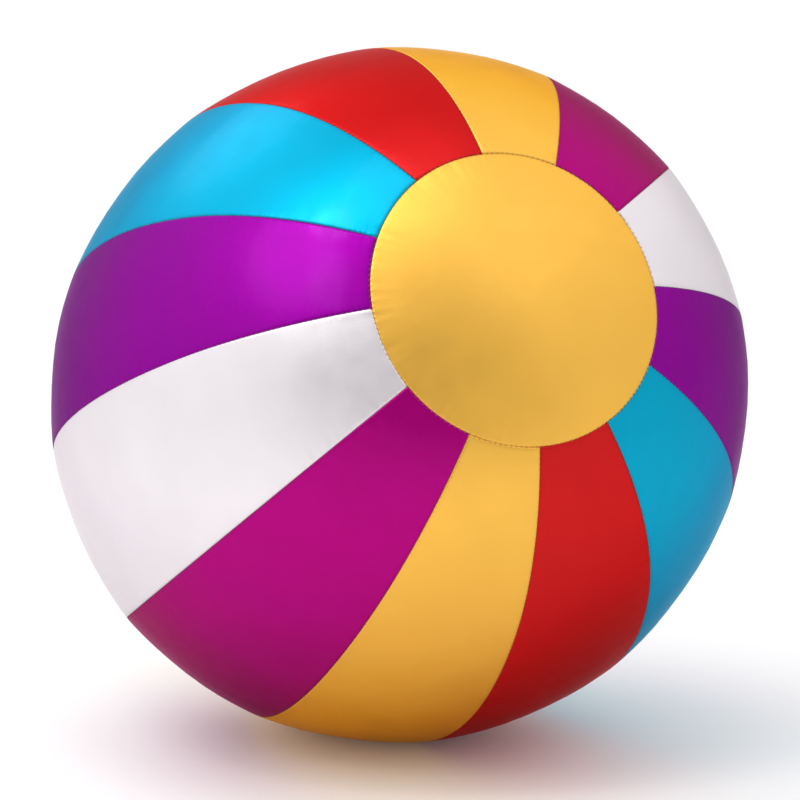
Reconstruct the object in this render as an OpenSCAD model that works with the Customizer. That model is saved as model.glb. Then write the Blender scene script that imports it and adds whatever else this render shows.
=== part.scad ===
// Inflatable beach ball: a sewn fabric cover of twelve gores and two end discs
// over an airtight PVC bladder. A zip in one seam takes the bladder, and the
// bladder's valve shows through a hole in the rear disc.
// Millimetres, +Z up. The origin is on the floor, under the middle of the ball.

/* [Ball] */
// Radius of the ball at its equator, halfway between the discs
equator_r = 292; // [288:1:296]
// Distance from the centre to the crown of each end disc
pole_r = 306; // [303:1:309]
// Radius of the curve that a seam follows along the belly
belly_r = 352; // [346:1:358]
// Radius of the seam round each end disc
disc_r = 119; // [112:1:124]
// Radius of the dome of each end disc
dome_r = 328; // [322:1:334]
// Angle of the axis through the discs above the floor
axis_tilt = 23; // [15:1:27]
// How far the weight of the ball flattens its underside
foot_depth = 5; // [4:0.5:5.5]

/* [Cover] */
// Thickness of the coated fabric
cover_t = 0.5; // [0.4:0.1:0.8]
// Longitude of the seam between the upper red and gold gores
first_seam = 94.6; // [90:0.1:98]
// Width of each gore in degrees, clockwise from the upper gold one
gore_deg = [30, 30, 32, 32, 30, 30, 28, 29, 32, 28, 29, 30];
// Width of the sewing thread
thread_w = 0.8; // [0.4:0.1:1]
// Height of the sewing thread above the fabric
thread_h = 0.3; // [0.2:0.1:0.5]

/* [Bladder] */
// Depth of the bladder below the outside of the cover
bladder_inset = 6.5; // [6.5:0.5:9]
// Thickness of the PVC film
bladder_t = 0.3; // [0.2:0.1:0.5]

/* [Valve] */
// Radius of the hole in the rear disc
valve_hole_r = 13; // [12:0.5:16]
// Outer radius of the patch round that hole
patch_r = 26; // [22:1:32]
// Radius of the flange that is welded to the bladder
flange_r = 20; // [18:1:24]
// Bore radius of the valve stem
stem_bore_r = 4; // [3.5:0.1:4.4]
// Length of the valve stem
stem_len = 26; // [24:1:30]
// Length of the stopper's plug
plug_len = 10; // [8:1:12]

/* [Zip] */
// Length of the zip, from stop to stop
zip_len = 240; // [200:5:250]
// Angle by which the zip's middle lies behind the equator
zip_shift = 6; // [2:1:7]
// Width of the joined rows of teeth
teeth_w = 5.8; // [5:0.2:7]
// Length of the slider
slider_len = 12; // [10:0.5:14]
// Length of the puller, from its pin
puller_len = 24; // [18:1:28]

/* [Hidden] */
$fn = 180;

gold = "#F0B84C";
magenta = "#B00082";
silver = "#E1DEE4";
violet = "#9A2A9E";
cyan = "#00B0DA";
red = "#D02A28";
GORE_COLOURS = [gold, magenta, silver, violet, cyan, red];
gores = len(gore_deg);

// Meridian curve: a belly arc, a shoulder arc at each end and the disc's dome,
// each tangent to the next. Points are [distance from the axis, height on it].
belly_x = equator_r - belly_r;
dome_z = pole_r - dome_r;
edge_a = asin(disc_r / dome_r);
edge_z = dome_z + dome_r * cos(edge_a);
edge_dx = disc_r - belly_x;
shoulder_r = (edge_dx ^ 2 + edge_z ^ 2 - belly_r ^ 2)
    / (2 * (edge_dx * sin(edge_a) + edge_z * cos(edge_a) - belly_r));
shoulder_c = [disc_r - shoulder_r * sin(edge_a), edge_z - shoulder_r * cos(edge_a)];
joint_a = atan2(shoulder_c[1], shoulder_c[0] - belly_x);
lap_a = 0.05;
room = 800;

// Height of the middle of the ball above the floor
centre_z = belly_r + belly_x * cos(axis_tilt) - foot_depth;
ease = 0.03;

// Seams and the zip
function seam_lon(i) = i == 0 ? first_seam : seam_lon(i - 1) - gore_deg[i - 1];
function arc_deg(length) = length / belly_r * 180 / PI;
zip_seam = 2;
zip_gap = 7;
zip_rear = -zip_shift - arc_deg(zip_len / 2);
zip_front = -zip_shift + arc_deg(zip_len / 2);
tape_w = 14;
tape_t = 0.5;
tape_top = belly_r - 1;
tape_over = arc_deg(8);
teeth_h = 1.9;
teeth_gap = 1.2;
stop_len = 3;
play = 0.4;
teeth_rear = zip_rear + arc_deg(stop_len);
teeth_front = zip_front - arc_deg(stop_len);
stop_gap = arc_deg(ease);
slider_w = 10;
slider_t = 1.2;
slider_post = 0.8;
slider_top = belly_r + 1.3;
slider_floor = tape_top - tape_t - play;
slider_rest = teeth_rear + arc_deg(play + slider_len / 2);
crown_len = 7;
crown_w = 2;
crown_h = 3.2;
pin_r = 1.02;
pin_clear = 0.08;
pin_z = slider_top + slider_t + 1.6;
puller_w = 7;
puller_t = 1.2;
puller_droop = 8;
guard_w = 32;
guard_top = belly_r - 3.9 - 0.5;

// Valve heights along the axis through the rear disc, measured from the centre
cap_t = 2;
cap_r = 7.8;
rim_t = 1.6;
rim_r = 7.4;
stem_r = 5.5;
stem_top = pole_r - 0.8;
stem_foot = stem_top - stem_len;
well_r = 9.4;
well_t = 0.6;
well_floor = pole_r - 16;
plug_clear = 0.05;
flap_t = 0.6;
flap_gap = 0.1;
flap_hinge = stem_r + 0.4;
hinge_w = 5;
strap_w = 3;
strap_t = 1.1;

// ---- Frames ----

// The ball's own frame: its axis through the discs, front disc up
module on_ball() {
    translate([0, 0, centre_z]) rotate([90 - axis_tilt, 0, 0]) children();
}

// The zip's frame: X out of the ball, angle about Z along the seam, Z across it
module on_zip() {
    on_ball() rotate([0, 0, seam_lon(zip_seam)])
        translate([belly_x, 0, 0]) rotate([90, 0, 0]) children();
}

// The valve's frame: Z out through the middle of the rear disc
module on_valve() {
    on_ball() rotate([180, 0, 0]) children();
}

// Everything higher than z
module above(z) {
    translate([-room / 2, -room / 2, z]) cube([room, room, room]);
}

// ---- Meridian areas, in the half plane beside the axis ----

module sector(centre, r, a0, a1) {
    far = 2 * r;
    mid = (a0 + a1) / 2;
    translate(centre) intersection() {
        circle(r);
        polygon([[0, 0], far * [cos(a0), sin(a0)], far * [cos(mid), sin(mid)],
                 far * [cos(a1), sin(a1)]]);
    }
}

// The part of the meridian that the gores cover; the sectors overlap by a hair
module gore_area(inset) {
    intersection() {
        sector([belly_x, 0], belly_r - inset, -joint_a - lap_a, joint_a + lap_a);
        translate([0, -room / 2]) square(room);
    }
    for (side = [0, 1]) mirror([0, side])
        sector(shoulder_c, shoulder_r - inset, joint_a, 90 - edge_a);
}

module full_area(inset) {
    gore_area(inset);
    for (side = [0, 1]) mirror([0, side])
        sector([0, dome_z], dome_r - inset, 90 - edge_a - lap_a, 90);
}

// Band of a disc's dome between two distances from the axis, t thick
module dome_band(near, far, lift, t) {
    difference() {
        sector([0, dome_z], dome_r + lift + t, 90 - asin(far / dome_r), 90 - asin(near / dome_r));
        translate([0, dome_z]) circle(dome_r + lift);
    }
}

// The whole ball as a solid, flattened where it stands
module ball_solid(inset) {
    intersection() {
        on_ball() rotate_extrude() full_area(inset);
        above(inset);
    }
}

// ---- Cover ----

// A panel of the cover: its children less everything inside the fabric
module skin() {
    difference() {
        intersection() {
            on_ball() children();
            above(0);
        }
        ball_solid(cover_t);
    }
}

module gore(i) {
    color(GORE_COLOURS[i % 6]) difference() {
        skin() rotate([0, 0, seam_lon(i + 1)]) rotate_extrude(angle = gore_deg[i]) gore_area(0);
        if (i == zip_seam - 1 || i == zip_seam)
            zip_strip(zip_rear - 0.2, zip_front + 0.2, belly_r - 5, 10, -zip_gap / 2, zip_gap);
    }
}

module front_disc() {
    color(gold) on_ball() rotate_extrude() dome_band(0, disc_r, -cover_t, cover_t);
}

module rear_disc() {
    color(gold) on_valve() rotate_extrude() dome_band(valve_hole_r, disc_r, -cover_t, cover_t);
}

// Ring of fabric sewn round the valve's hole
module valve_patch() {
    color(gold) on_valve() rotate_extrude() dome_band(valve_hole_r, patch_r, ease, cover_t);
}

// ---- Stitching, laid on the seams ----

// One arc of a seam's thread, in the seam's own plane
module thread_arc(centre, r, a0, a1) {
    linear_extrude(height = thread_w, center = true) difference() {
        sector(centre, r + ease + thread_h, a0, a1);
        translate(centre) circle(r + ease);
    }
}

module seam_thread(i) {
    on_ball() rotate([0, 0, seam_lon(i)]) rotate([90, 0, 0]) {
        thread_arc([belly_x, 0], belly_r, -joint_a, joint_a);
        for (side = [0, 1]) mirror([0, side, 0])
            thread_arc(shoulder_c, shoulder_r, joint_a, 90 - edge_a);
    }
}

// The seams that are neither under the ball nor held by the zip are whole
module gore_stitching() {
    color("tan") for (i = [0:gores - 1]) {
        if (i == zip_seam) difference() {
            seam_thread(i);
            zip_strip(zip_rear - 0.4, zip_front + 0.4, belly_r - 5, 10, -zip_gap, 2 * zip_gap);
        }
        else if (abs(seam_lon(i) + 90) < 15) intersection() {
            seam_thread(i);
            above(1);
        }
        else seam_thread(i);
    }
}

// Thread ring on a dome, at a distance from the axis
module thread_ring(r, lift) {
    a = asin(r / dome_r);
    rotate_extrude() translate([0, dome_z]) rotate(90 - a)
        translate([dome_r + lift, -thread_w / 2]) square([thread_h, thread_w]);
}

module front_disc_stitching() {
    color("tan") on_ball() thread_ring(disc_r - thread_w, ease);
}

module rear_disc_stitching() {
    color("tan") on_valve() thread_ring(disc_r - thread_w, ease);
}

module patch_stitching() {
    color("tan") on_valve() for (r = [valve_hole_r + 2, patch_r - 2])
        thread_ring(r, 2 * ease + cover_t);
}

// ---- Zip ----

// Strip along the zip: angles a0 to a1, radius r up by h, across from w by dw
module zip_strip(a0, a1, r, h, w, dw) {
    on_zip() rotate([0, 0, a0]) rotate_extrude(angle = a1 - a0) translate([r, w]) square([h, dw]);
}

module zip_tape(side) {
    w = side > 0 ? teeth_gap / 2 : -tape_w;
    color("whitesmoke") zip_strip(zip_rear - tape_over, zip_front + tape_over,
                                  tape_top - tape_t, tape_t, w, tape_w - teeth_gap / 2);
}

module zip_teeth(side) {
    row = (teeth_w - teeth_gap) / 2;
    w = side > 0 ? teeth_gap / 2 : -teeth_w / 2;
    color("white") zip_strip(teeth_rear, teeth_front, tape_top + ease, teeth_h, w, row);
}

module zip_top_stops() {
    row = (teeth_w - teeth_gap) / 2;
    color("silver") for (w = [teeth_gap / 2, -teeth_w / 2])
        zip_strip(zip_rear, teeth_rear - stop_gap, tape_top + ease, teeth_h, w, row);
}

module zip_bottom_stop() {
    color("silver") zip_strip(teeth_front + stop_gap, zip_front, tape_top + ease, teeth_h,
                                  -teeth_w / 2, teeth_w);
}

// Flap of cover fabric that keeps the bladder off the zip
module zip_guard() {
    color(silver) zip_strip(zip_rear - tape_over, zip_front + tape_over,
                            guard_top - cover_t, cover_t, -guard_w / 2, guard_w);
}

module zip_stitching() {
    color("tan") for (side = [-1, 1])
        zip_strip(zip_rear - 0.2, zip_front + 0.2, belly_r + 2 * ease, thread_h,
                  side * zip_gap - thread_w / 2, thread_w);
}

// Two plates round the teeth, joined by a post, with a crown for the puller's pin
module zip_slider() {
    half = slider_len / 2;
    color("silver") on_zip() rotate([0, 0, slider_rest]) difference() {
        union() {
            for (r = [slider_top, slider_floor - slider_t])
                translate([r, -half, -slider_w / 2]) cube([slider_t, slider_len, slider_w]);
            translate([slider_floor - slider_t / 2, half - 4, -slider_post / 2])
                cube([slider_top - slider_floor + slider_t, 4, slider_post]);
            for (w = [-slider_w / 2, slider_w / 2 - 1.6])
                translate([slider_top - 0.7, -half, w]) cube([0.7 + slider_t / 2, slider_len, 1.6]);
            translate([slider_top, -crown_len / 2, -crown_w / 2])
                cube([slider_t + crown_h, crown_len, crown_w]);
        }
        translate([pin_z, 0, -crown_w]) cylinder(r = pin_r + pin_clear, h = 2 * crown_w);
    }
}

// Flat tab with two ears and a pin through the slider's crown
module zip_puller() {
    ear = 1.3;
    ear_w = crown_w / 2 + 0.3;
    color("silver") on_zip() rotate([0, 0, slider_rest]) translate([pin_z, 0, 0])
        rotate([0, 0, -90 - puller_droop]) {
            translate([0, 0, -ear_w - ear]) cylinder(r = pin_r, h = 2 * (ear_w + ear));
            for (w = [-ear_w - ear, ear_w]) translate([0, 0, w]) {
                cylinder(r = puller_t, h = ear);
                translate([0, -puller_t / 2, 0]) cube([crown_len, puller_t, ear]);
            }
            translate([0, puller_t / 2, 0]) rotate([90, 0, 0])
                linear_extrude(height = puller_t) {
                    translate([crown_len - 2, -puller_w / 2])
                        square([puller_len - crown_len + 2 - puller_w / 2, puller_w]);
                    translate([puller_len - puller_w / 2, 0]) circle(d = puller_w);
                }
        }
}

// ---- Bladder and valve ----

module bladder() {
    color("lightgray") difference() {
        on_ball() rotate_extrude() difference() {
            full_area(bladder_inset);
            full_area(bladder_inset + bladder_t);
        }
        on_valve() cylinder(r = well_r + 0.1, h = room);
    }
}

// Ring welded to the bladder, with the well that the stem sits in
module valve_flange() {
    lift = ease - bladder_inset;
    color("white") on_valve() {
        rotate_extrude() dome_band(well_r - well_t, flange_r, lift, well_t);
        difference() {
            translate([0, 0, well_floor]) cylinder(r = well_r, h = pole_r + lift - well_floor);
            translate([0, 0, well_floor + well_t]) cylinder(r = well_r - well_t, h = room);
            translate([0, 0, well_floor - 1]) cylinder(r = stem_r + 0.1, h = room);
        }
    }
}

module valve_stem() {
    color("white") on_valve() difference() {
        union() {
            translate([0, 0, stem_foot]) cylinder(r = stem_r, h = stem_len);
            translate([0, 0, stem_top - rim_t]) cylinder(r = rim_r, h = rim_t);
        }
        translate([0, 0, stem_foot - 1]) cylinder(r = stem_bore_r, h = stem_len + 2);
    }
}

// Thin flap that the air inside holds shut against the foot of the stem, with
// a rounded bead along its hinge
module check_flap() {
    color("white") on_valve() translate([0, 0, stem_foot - flap_gap - flap_t]) {
        cylinder(r = stem_r, h = flap_t);
        translate([-hinge_w / 2, -flap_hinge, 0]) cube([hinge_w, flap_hinge, flap_t]);
        translate([-hinge_w / 2, -flap_hinge, flap_t / 2]) rotate([0, 90, 0])
            cylinder(r = flap_t / 2 + ease, h = hinge_w);
    }
}

module valve_stopper() {
    tip = 2;
    color("white") on_valve() {
        translate([0, 0, stem_top + ease]) {
            cylinder(r = cap_r, h = cap_t);
            translate([0, -strap_w / 2, 0]) cube([valve_hole_r - 2, strap_w, strap_t]);
        }
        translate([0, 0, stem_top - plug_len + tip]) {
            cylinder(r = stem_bore_r - plug_clear, h = plug_len - tip + 2 * ease);
            translate([0, 0, -tip])
                cylinder(r1 = stem_bore_r - 1, r2 = stem_bore_r - plug_clear, h = tip);
        }
    }
}

// Loop that keeps the stopper on the stem
module stopper_strap() {
    reach = valve_hole_r - 2.4;
    color("white") on_valve() translate([-reach, -strap_w / 2, 0]) {
        translate([0, 0, stem_top - rim_t + 0.2])
            cube([reach - rim_r - ease, strap_w, strap_t]);
        translate([0, 0, stem_top - rim_t + 0.2])
            cube([strap_t, strap_w, rim_t + cap_t - 0.4]);
        translate([0, 0, stem_top + cap_t - 0.2 - strap_t])
            cube([reach - cap_r - 0.3, strap_w, strap_t]);
    }
}

gore(0);  // gore_01_gold
gore(1);  // gore_02_magenta
gore(2);  // gore_03_silver
gore(3);  // gore_04_violet
gore(4);  // gore_05_cyan
gore(5);  // gore_06_red
gore(6);  // gore_07_gold
gore(7);  // gore_08_magenta
gore(8);  // gore_09_silver
gore(9);  // gore_10_violet
gore(10);  // gore_11_cyan
gore(11);  // gore_12_red
front_disc();
rear_disc();
valve_patch();
gore_stitching();
front_disc_stitching();
rear_disc_stitching();
zip_stitching();
patch_stitching();
zip_tape(-1);  // zip_tape_left
zip_tape(1);  // zip_tape_right
zip_teeth(-1);  // zip_teeth_left
zip_teeth(1);  // zip_teeth_right
zip_top_stops();
zip_bottom_stop();
zip_guard();
zip_slider();
zip_puller();
bladder();
valve_flange();
valve_stem();
check_flap();
valve_stopper();
stopper_strap();
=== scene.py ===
import math
from contextlib import contextmanager

import bmesh
import bpy
import numpy as np
from mathutils import Matrix, Vector


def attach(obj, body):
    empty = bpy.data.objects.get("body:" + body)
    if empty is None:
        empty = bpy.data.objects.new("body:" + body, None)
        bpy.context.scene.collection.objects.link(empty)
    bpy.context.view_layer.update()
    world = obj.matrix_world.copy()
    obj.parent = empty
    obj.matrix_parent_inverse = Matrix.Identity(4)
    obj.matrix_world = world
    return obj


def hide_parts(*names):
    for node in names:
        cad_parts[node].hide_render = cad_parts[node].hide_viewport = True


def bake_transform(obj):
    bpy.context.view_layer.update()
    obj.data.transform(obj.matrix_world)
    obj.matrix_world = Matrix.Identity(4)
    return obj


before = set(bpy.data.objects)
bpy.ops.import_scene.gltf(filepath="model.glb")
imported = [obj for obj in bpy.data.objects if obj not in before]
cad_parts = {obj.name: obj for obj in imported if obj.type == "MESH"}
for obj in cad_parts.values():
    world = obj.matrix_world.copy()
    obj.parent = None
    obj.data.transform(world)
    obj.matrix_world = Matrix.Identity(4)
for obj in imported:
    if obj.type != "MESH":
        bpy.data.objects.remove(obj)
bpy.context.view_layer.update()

bl_info = {
    "name": "Inflatable beach ball",
    "version": (1, 0, 0),
    "blender": (4, 5, 0),
    "location": "View3D > Sidebar > Beach ball",
    "description": "Builds a sewn fabric beach ball over its CAD frame",
    "category": "Object",
}

# Sizes that the CAD source gives, in metres and radians
CENTRE_Z = 0.2917697
TILT = math.radians(23)
BELLY_R = 0.352
BELLY_X = -0.060
DOME_R = 0.328
DOME_Z = -0.022
DISC_R = 0.119
HOLE_R = 0.013
PATCH_R = 0.026
FABRIC_T = 0.0005
FIRST_SEAM = 94.6
GORE_DEG = (30, 30, 32, 32, 30, 30, 28, 29, 32, 28, 29, 30)
ZIP_SEAM = 2
ZIP_REAR = math.radians(-25.53)
ZIP_FRONT = math.radians(13.53)
ZIP_SLOT = 0.0035
TAPE_TOP = 0.351
POLE_R = 0.306
STEM_TOP = 0.3052
STEM_FOOT = 0.2792
BLADDER_INSET = 0.0065
MM = 0.001

# Sizes of the sewing that CAD leaves out
PATCH_SEAMS = (0.015, 0.024)
ZIP_SEAM_OUT = 7 * MM
TAPE_IN, TAPE_OUT = 0.6 * MM, 14 * MM
GUARD_OUT = 16 * MM
TEETH_OUT = 1.72 * MM

# The meridian: belly arc, shoulder arc and dome, each tangent to the next
EDGE_A = math.asin(DISC_R / DOME_R)
EDGE_Z = DOME_Z + DOME_R * math.cos(EDGE_A)
EDGE_DX = DISC_R - BELLY_X
SHOULDER_R = (EDGE_DX ** 2 + EDGE_Z ** 2 - BELLY_R ** 2) / (
    2 * (EDGE_DX * math.sin(EDGE_A) + EDGE_Z * math.cos(EDGE_A) - BELLY_R))
SHOULDER_C = (DISC_R - SHOULDER_R * math.sin(EDGE_A), EDGE_Z - SHOULDER_R * math.cos(EDGE_A))
JOINT_A = math.atan2(SHOULDER_C[1], SHOULDER_C[0] - BELLY_X)
BELLY_LEN = BELLY_R * JOINT_A
SEAM_LEN = BELLY_LEN + SHOULDER_R * (math.pi / 2 - EDGE_A - JOINT_A)
DISC_LEN = DOME_R * EDGE_A

# Frames of the ball, its valve and its zip
BALL = Matrix((
    (1, 0, 0, 0),
    (0, math.sin(TILT), -math.cos(TILT), 0),
    (0, math.cos(TILT), math.sin(TILT), CENTRE_Z),
    (0, 0, 0, 1),
))
VALVE = BALL @ Matrix.Rotation(math.pi, 4, "X")

GORES = (
    ("gore_01_gold", "gold"), ("gore_02_magenta", "magenta"), ("gore_03_silver", "silver"),
    ("gore_04_violet", "violet"), ("gore_05_cyan", "cyan"), ("gore_06_red", "red"),
    ("gore_07_gold", "gold"), ("gore_08_magenta", "magenta"), ("gore_09_silver", "silver"),
    ("gore_10_violet", "violet"), ("gore_11_cyan", "cyan"), ("gore_12_red", "red"),
)

# Soft boxes: power in watts, width in metres, degrees round from the camera's side, degrees up
SOFT_BOXES = (
    ("Front left", 5.9, 1.2, -45, 45), ("Overhead", 5.7, 1.2, 0, 70), ("Front right", 0.9, 1.2, 45, 45),
    ("Back left", 4.5, 1.2, -135, 45), ("High left", 4.6, 0.5, -32, 56), ("Front", 1.5, 0.5, -25, 40),
)
# Broad patches of light all round: strength, degrees round, degrees up
SURROUNDINGS = (
    (0.72, -90, 15), (0.6, 90, 15), (0.5, 180, 15), (0.45, 0, 90), (0.18, 45, 30), (0.22, -45, 30),
    (0.24, -135, 30),
)
# Light that comes from every side alike
EVEN_LIGHT = 0.22
# How far the soft boxes stand from the ball's middle, and the floor's radius
BOX_DISTANCE = 2.4
FLOOR_R = 60
# The camera's shift to its right and up, which centres the ball
NUDGE = (2.5 * MM, -2.6 * MM, 0)


# ---------------------------------------------------------------- settings

def length(name, text, default, low, high):
    """A length property, in metres."""
    return bpy.props.FloatProperty(name=name, description=text, default=default, min=low, max=high,
                                   precision=5, subtype="DISTANCE", unit="LENGTH")


def share(name, text, default, high=1.0):
    """A plain factor."""
    return bpy.props.FloatProperty(name=name, description=text, default=default, min=0.0, max=high)


def linear(code):
    """An sRGB hex colour as linear RGB."""
    out = []
    for i in (1, 3, 5):
        c = int(code[i:i + 2], 16) / 255
        out.append(c / 12.92 if c <= 0.04045 else ((c + 0.055) / 1.055) ** 2.4)
    return out


def colour(name, text, code):
    """A colour property, from an sRGB hex code."""
    return bpy.props.FloatVectorProperty(name=name, description=text, default=linear(code),
                                         min=0.0, max=1.0, size=3, subtype="COLOR")


class BallSizes(bpy.types.PropertyGroup):
    """Sizes of the sewing and of the soft shape."""
    stitch_pitch: length("Stitch pitch", "Distance from stitch to stitch", 0.0043, 0.002, 0.008)
    thread: length("Thread", "Thickness of the sewing thread", 0.00042, 0.0002, 0.001)
    fold: length("Fold radius", "Radius of the fabric where it turns into a seam", 0.0014, 0.0005, 0.003)
    turn_in: length("Turned edge", "How deep the turned edge of a panel reaches", 0.0032, 0.002, 0.005)
    dent: length("Stitch dent", "How far each stitch pulls the fabric in", 0.0004, 0.0, 0.001)
    pucker: length("Pucker", "Height of the puckers beside a long seam", 0.00012, 0.0, 0.001)
    disc_pucker: length("Disc pucker", "Height of the puckers beside a disc's seam", 0.00016, 0.0, 0.001)
    wave: length("Waves", "Height of the broad waves of the fabric", 0.00028, 0.0, 0.002)
    roundness: share("Roundness", "1 is a round cross section, 0 is flat from seam to seam", 0.87)
    tooth_pitch: length("Tooth pitch", "Distance from tooth to tooth of the zip", 0.0016, 0.001, 0.003)
    seed: bpy.props.IntProperty(name="Seed", description="Seed of everything irregular", default=7, min=0)


class BallColours(bpy.types.PropertyGroup):
    """Colours of the fabric and of the trim."""
    gold: colour("Gold", "Gold fabric", "#ECB64C")
    magenta: colour("Magenta", "Magenta fabric", "#A80075")
    silver: colour("Silver", "Silver fabric", "#E1DBDF")
    violet: colour("Violet", "Violet fabric", "#89008E")
    cyan: colour("Cyan", "Cyan fabric", "#009DBF")
    red: colour("Red", "Red fabric", "#C41B1D")
    thread: colour("Thread", "Sewing thread", "#7C5A38")
    tape: colour("Tape", "Tape of the zip", "#E9E6DF")
    teeth: colour("Teeth", "Teeth of the zip", "#F1F0EC")
    metal: colour("Metal", "Slider, puller and stops", "#C9CACC")
    film: colour("Film", "Film of the bladder", "#DCE1E4")
    vinyl: colour("Vinyl", "Moulded valve parts", "#EEF0F1")


class BallStage(bpy.types.PropertyGroup):
    """Light, floor and camera."""
    boxes: share("Soft boxes", "Power of the round soft boxes, against their usual power", 1.0, 10.0)
    sky: share("Surroundings", "Strength of the light from all round, against its usual strength",
               1.0, 10.0)
    glow: share("Floor glow", "Light that comes through the floor", 0.04, 5.0)
    azimuth: bpy.props.FloatProperty(name="Azimuth", description="Camera's turn round the ball",
                                     default=math.radians(-20.6), subtype="ANGLE")
    elevation: bpy.props.FloatProperty(name="Elevation", description="Camera's angle above the horizon",
                                       default=math.radians(8), subtype="ANGLE")
    distance: length("Distance", "Camera's distance from the ball's middle", 2.722, 1.0, 10.0)
    lens: bpy.props.FloatProperty(name="Lens", description="Focal length", default=143.8, min=20,
                                  max=300, subtype="DISTANCE_CAMERA")


# ---------------------------------------------------------------- the ball's surface

def seam_lon(i):
    """Longitude of seam i, in radians."""
    return math.radians(FIRST_SEAM - sum(GORE_DEG[:i]))


def meridian(s):
    """Distance from the axis, height on it and outward direction, at arc length s from the equator."""
    a = np.abs(s)
    on_belly, on_shoulder = a < BELLY_LEN, a < SEAM_LEN
    angle = np.where(on_belly, a / BELLY_R,
                     np.where(on_shoulder, JOINT_A + (a - BELLY_LEN) / SHOULDER_R,
                              math.pi / 2 - EDGE_A + (a - SEAM_LEN) / DOME_R))
    cos, sin = np.cos(angle), np.sin(angle)
    rho = np.where(on_belly, BELLY_X + BELLY_R * cos,
                   np.where(on_shoulder, SHOULDER_C[0] + SHOULDER_R * cos, DOME_R * cos))
    high = np.where(on_belly, BELLY_R * sin,
                    np.where(on_shoulder, SHOULDER_C[1] + SHOULDER_R * sin, DOME_Z + DOME_R * sin))
    side = np.where(s < 0, -1.0, 1.0)
    return rho, side * high, cos, side * sin


def soft_floor(p):
    """Points kept above the floor, with a soft bend where the ball rests."""
    ease = 0.9 * MM
    p[..., 2] = 0.5 * (p[..., 2] + np.sqrt(p[..., 2] ** 2 + ease ** 2)) + 0.02 * MM
    return p


def placed(p, matrix):
    """Points moved by a matrix."""
    m = np.array(matrix)
    return p @ m[:3, :3].T + m[:3, 3]


def on_ball(lon, s, lift, shrink=1.0):
    """Points of the ball at longitude and arc length, lifted off its surface."""
    rho, high, out, up = meridian(s)
    r = rho * shrink + lift * out
    p = np.stack([r * np.cos(lon), r * np.sin(lon), high + lift * up], -1)
    return soft_floor(placed(p, BALL))


def waves(p, size, seed, count=9):
    """Smooth lumps about 1 high and size across."""
    rng = np.random.default_rng(seed)
    total = np.zeros(p.shape[:-1])
    for _ in range(count):
        k = rng.normal(size=3)
        k *= 2 * math.pi / (size * rng.uniform(0.75, 1.6) * np.linalg.norm(k))
        total += np.sin(p @ k + rng.uniform(0, 2 * math.pi))
    return total / math.sqrt(count)


def ripple(x, seed, around=None, sizes=(9, 13, 19, 28)):
    """Irregular puckers along a line, about 1 high; around is the length of a closed line."""
    rng = np.random.default_rng(seed)
    total = np.zeros_like(x)
    for size in sizes:
        size *= MM * rng.uniform(0.9, 1.1)
        slow = size * rng.uniform(4, 7)
        if around:
            size, slow = around / round(around / size), around / round(around / slow)
        swell = 0.6 + 0.4 * np.sin(2 * math.pi * x / slow + rng.uniform(0, 6))
        total += swell * np.sin(2 * math.pi * x / size + rng.uniform(0, 2 * math.pi))
    return total / math.sqrt(len(sizes))


def disc_ripple(lon, side, seed):
    """The puckers round one disc's seam, the same for the disc and for the panels it meets."""
    return ripple(lon * DISC_R, (11 if side > 0 else 12) + seed, around=2 * math.pi * DISC_R)


def broad_waves(p, d, sizes):
    """The fabric's waves at points p, fading out towards a seam at distance d."""
    wave = sizes.wave * waves(p, 0.085, sizes.seed) * (1 - np.exp(-d / (12 * MM)))
    return wave + 0.12 * sizes.wave * waves(p, 0.03, sizes.seed + 1) * (1 - np.exp(-d / (6 * MM)))


def stitch_dent(d, beat, sizes):
    """How far the stitches pull the fabric in at distance d from a seam; beat is 1 at a stitch."""
    return sizes.dent * beat ** 2 * np.exp(-(d / (1.7 * MM)) ** 2)


def disc_stitches(sizes):
    """How many stitches go round a disc."""
    return round(2 * math.pi * DISC_R / sizes.stitch_pitch)


def fold(d, radius):
    """Depth of a rounded fold at distance d from its edge."""
    inside = np.clip(radius - d, 0, radius)
    return radius - np.sqrt(radius ** 2 - inside ** 2)


def seam_pitch(line, sizes):
    """The stitch pitch that divides a line evenly."""
    return line / round(line / sizes.stitch_pitch)


# ---------------------------------------------------------------- mesh tools

def new_object(name, mesh, material):
    """An object in the scene with one material."""
    obj = bpy.data.objects.new(name, mesh)
    bpy.context.scene.collection.objects.link(obj)
    mesh.materials.clear()
    mesh.materials.append(material)
    return obj


def smooth(mesh):
    """Smooth shading all over."""
    mesh.polygons.foreach_set("use_smooth", np.ones(len(mesh.polygons), bool))
    mesh.update()


@contextmanager
def editing(mesh):
    """A mesh opened for editing, written back at the end."""
    shape = bmesh.new()
    shape.from_mesh(mesh)
    yield shape
    shape.to_mesh(mesh)
    shape.free()


def stand_in(obj, node, body):
    """Stands a piece in for its CAD node, moving with a body."""
    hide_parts(node)
    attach(obj, body)


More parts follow.
